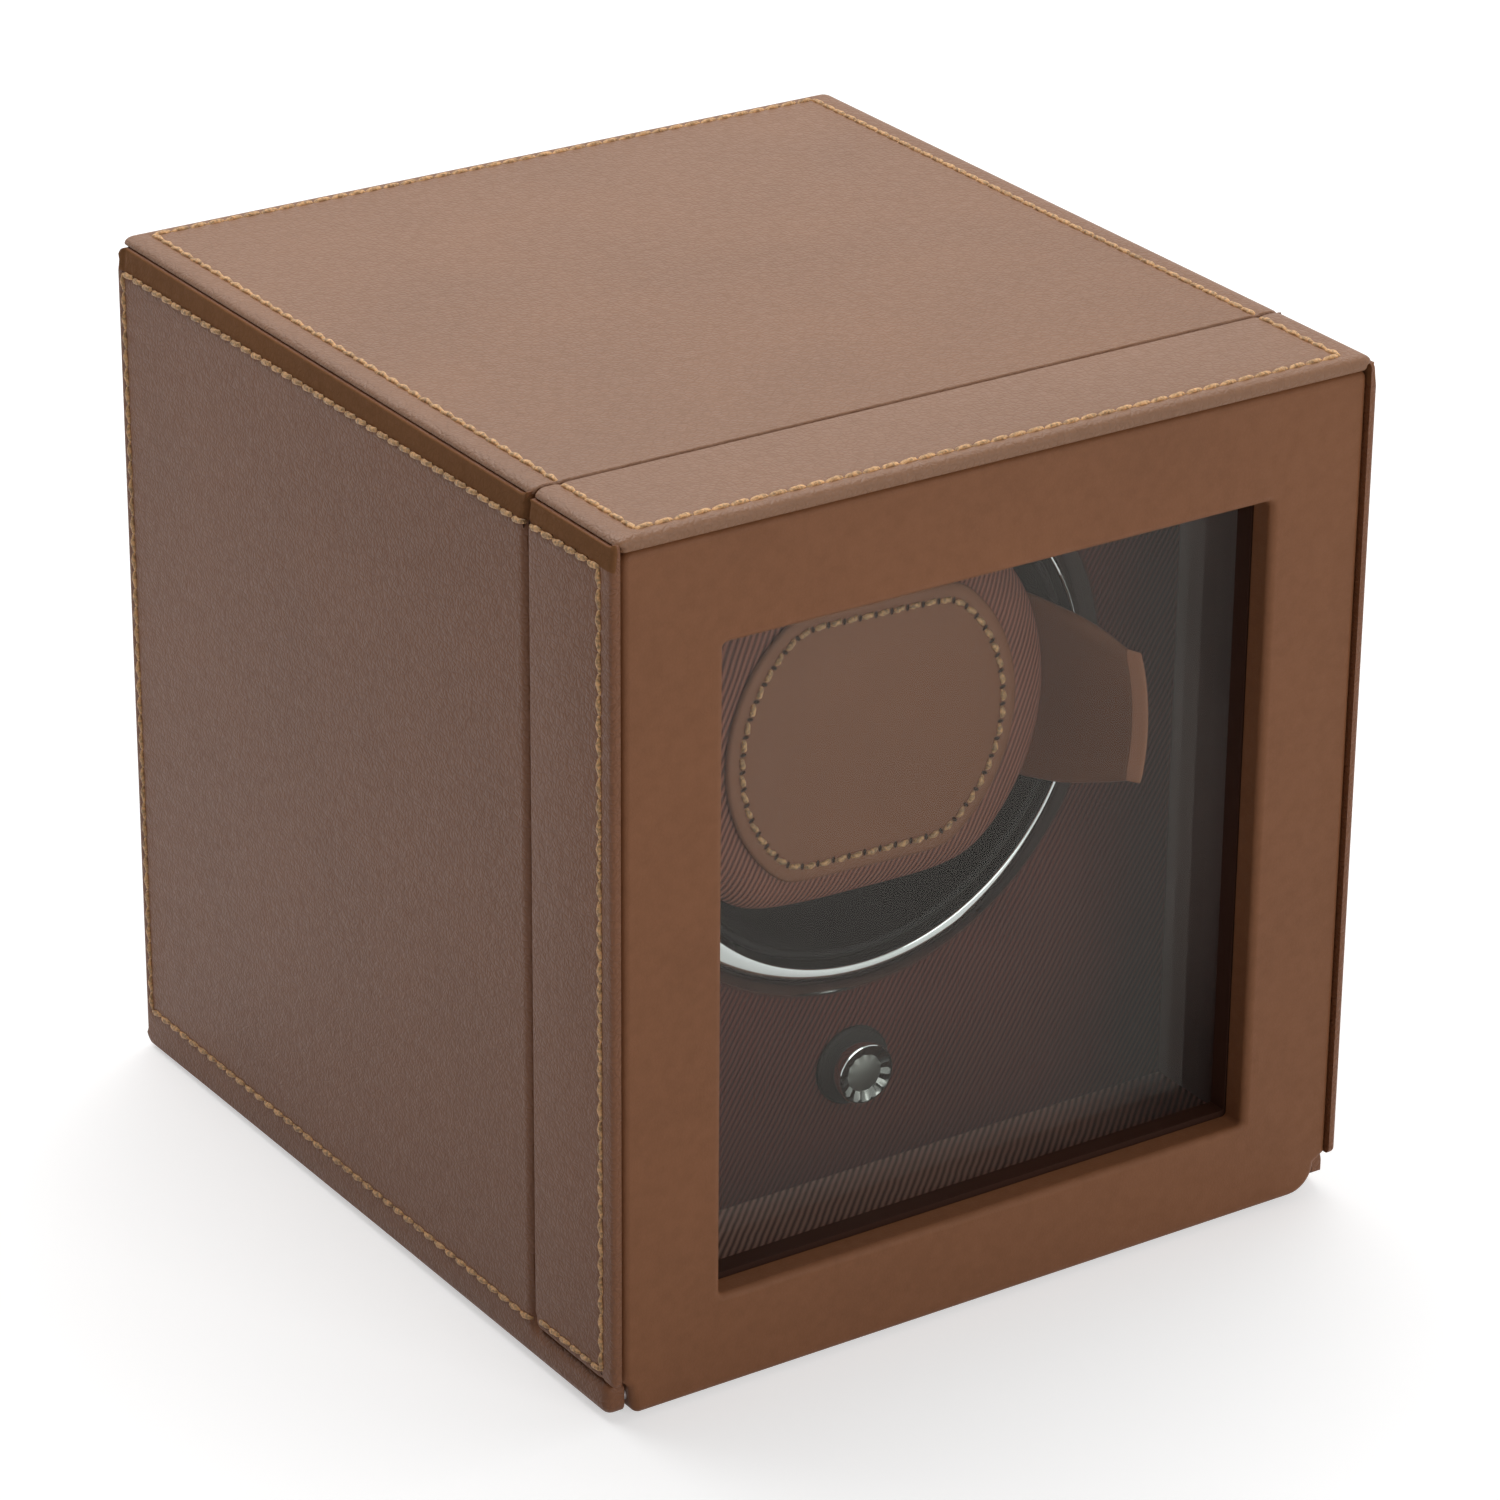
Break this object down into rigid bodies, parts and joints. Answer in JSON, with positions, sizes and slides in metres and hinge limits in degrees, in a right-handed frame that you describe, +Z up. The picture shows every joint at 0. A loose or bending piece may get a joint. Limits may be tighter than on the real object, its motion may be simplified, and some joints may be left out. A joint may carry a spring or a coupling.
{
  "type": "watch_winder",
  "caption": "Leather-covered watch winder with a tilting glazed cover, a motor-driven drum with a padded cuff, a control knob and a battery bay",
  "frame": {"origin": "middle of the case's footprint, on the surface it stands on", "axes": "+X to the winder's right seen from the front, +Y to the rear, +Z up"},
  "size_m": [0.139, 0.1494, 0.146],
  "materials": {
    "leather": "grained tan leather, tan stitching",
    "twill_lining": "dark brown diagonal twill",
    "black_plastic": "moulded black",
    "bright_chrome": "polished",
    "plated_steel": "zinc plated",
    "bronze_bush": "turned",
    "white_nylon": "moulded natural nylon",
    "rubber_foot": "matt",
    "window_glass": "clear flat pane",
    "circuit_board": "green lacquer",
    "cell_jacket": "dark jacket"
  },
  "bodies": {
    "case": {"base_board": "leather", "battery_holder": "black_plastic", "bezel_ring": "bright_chrome", "bush_front": "bronze_bush", "bush_rear": "bronze_bush", "case_magnet_left": "plated_steel", "case_magnet_right": "plated_steel", "cell_contact_left": "bronze_bush", "cell_contact_right": "bronze_bush", "cell_left": "cell_jacket", "cell_right": "cell_jacket", "chassis": "black_plastic", "chassis_screw_1": "plated_steel", "chassis_screw_2": "plated_steel", "chassis_screw_3": "plated_steel", "chassis_screw_4": "plated_steel", "control_board": "circuit_board", "dc_inlet": "black_plastic", "floor_lining": "twill_lining", "foot_front_left": "rubber_foot", "foot_front_right": "rubber_foot", "foot_rear_left": "rubber_foot", "foot_rear_right": "rubber_foot", "gearbox": "plated_steel", "gearbox_screw_1": "plated_steel", "gearbox_screw_2": "plated_steel", "hinge_pin_left": "plated_steel", "hinge_pin_right": "plated_steel", "inner_case": "twill_lining", "knob_collar": "black_plastic", "module_face": "twill_lining", "motor_can": "plated_steel", "rear_panel": "leather", "side_panel_left": "leather", "side_panel_right": "leather", "switch_body": "black_plastic", "top_panel": "leather"},
    "cover": {"front_frame": "leather", "cover_top": "leather", "cover_wing_left": "leather", "cover_wing_right": "leather", "cover_liner": "black_plastic", "cover_magnet_left": "plated_steel", "cover_magnet_right": "plated_steel", "glass_pane": "window_glass"},
    "drum": {"drum_cup": "black_plastic", "drum_gear": "white_nylon", "drum_shaft": "plated_steel", "shaft_clip": "plated_steel", "cuff_patch": "leather", "cuff_pad": "twill_lining", "cuff_core": "black_plastic"},
    "tab_left": {"cuff_tab_left": "leather"},
    "tab_right": {"cuff_tab_right": "leather"},
    "pinion": {"motor_pinion": "bronze_bush"},
    "knob": {"control_knob": "bright_chrome"},
    "door": {"battery_door": "black_plastic"}
  },
  "joints": [
    {"name": "cover_hinge", "type": "hinge", "parent": "case", "child": "cover", "pos_m": [0, -0.07135, 0.0036], "axis": [1, 0, 0], "range_deg": [0, 90]},
    {"name": "drum_spin", "type": "hinge", "parent": "case", "child": "drum", "pos_m": [0, -0.03825, 0.086], "axis": [0, 1, 0], "continuous": true},
    {"name": "pinion_spin", "type": "hinge", "parent": "case", "child": "pinion", "pos_m": [0, 0.01225, 0.116], "axis": [0, 1, 0], "continuous": true},
    {"name": "tab_squeeze_left", "type": "hinge", "parent": "drum", "child": "tab_left", "pos_m": [-0.03448, -0.01275, 0.0872], "axis": [0.0349, 0, 0.9994], "range_deg": [0, 3], "stiffness_Nm_per_rad": 1},
    {"name": "tab_squeeze_right", "type": "hinge", "parent": "drum", "child": "tab_right", "pos_m": [0.03448, -0.01275, 0.0848], "axis": [-0.0349, 0, -0.9994], "range_deg": [0, 3], "stiffness_Nm_per_rad": 1},
    {"name": "knob_turn", "type": "hinge", "parent": "case", "child": "knob", "pos_m": [0, -0.03575, 0.0257], "axis": [0, 1, 0], "range_deg": [-60, 60]},
    {"name": "battery_door_slide", "type": "slide", "parent": "case", "child": "door", "axis": [0, 1, 0], "range_m": [0, 0.015]}
  ],
  "couplings": [
    {"joint": "pinion_spin", "follows": "drum_spin", "ratio": -4}
  ]
}
